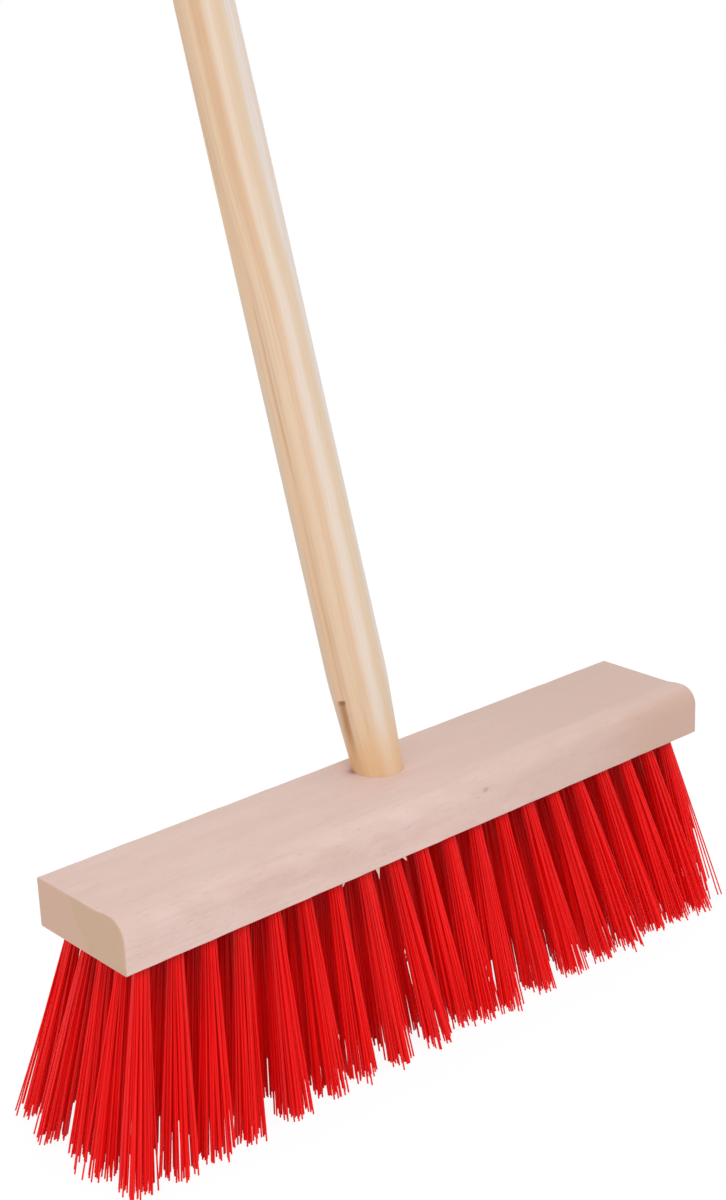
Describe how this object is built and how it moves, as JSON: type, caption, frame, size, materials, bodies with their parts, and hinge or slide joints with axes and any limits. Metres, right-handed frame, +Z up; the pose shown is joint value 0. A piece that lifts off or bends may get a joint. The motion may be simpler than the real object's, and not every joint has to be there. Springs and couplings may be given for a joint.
{
  "type": "street broom",
  "caption": "Push broom with a rectangular wooden block, a round wooden handle pushed into a slanted socket, and rows of red plastic bristle tufts.",
  "frame": {"origin": "middle of the block's flat top face, at its mid length and mid width; the handle's socket opens just behind it", "axes": "+X along the block, +Y towards the block's back, the way the handle leans, +Z up; the bristles point down"},
  "size_m": [0.4227, 0.4599, 1.4604],
  "materials": {
    "beech_wood": "planed bare beech, pale pinkish beige, fine grain along the block",
    "pine_wood": "turned bare pine, pale with tan streaks along the handle",
    "red_bristle": "bright red extruded plastic bristle, satin gloss"
  },
  "bodies": {
    "handle": {"handle": "pine_wood"},
    "head": {"block": "beech_wood", "tuft_line_01": "red_bristle", "tuft_line_02": "red_bristle", "tuft_line_03": "red_bristle", "tuft_line_04": "red_bristle", "tuft_line_05": "red_bristle", "tuft_line_06": "red_bristle", "tuft_line_07": "red_bristle", "tuft_line_08": "red_bristle", "tuft_line_09": "red_bristle", "tuft_line_10": "red_bristle", "tuft_line_11": "red_bristle", "tuft_line_12": "red_bristle", "tuft_line_13": "red_bristle", "tuft_line_14": "red_bristle", "tuft_line_15": "red_bristle", "tuft_line_16": "red_bristle", "tuft_line_17": "red_bristle", "tuft_line_18": "red_bristle", "tuft_line_19": "red_bristle", "tuft_line_20": "red_bristle"}
  },
  "joints": [
    {"name": "head_pull", "type": "slide", "parent": "handle", "child": "head", "axis": [0, -0.2756, -0.9613], "range_m": [0, 0.04]}
  ]
}
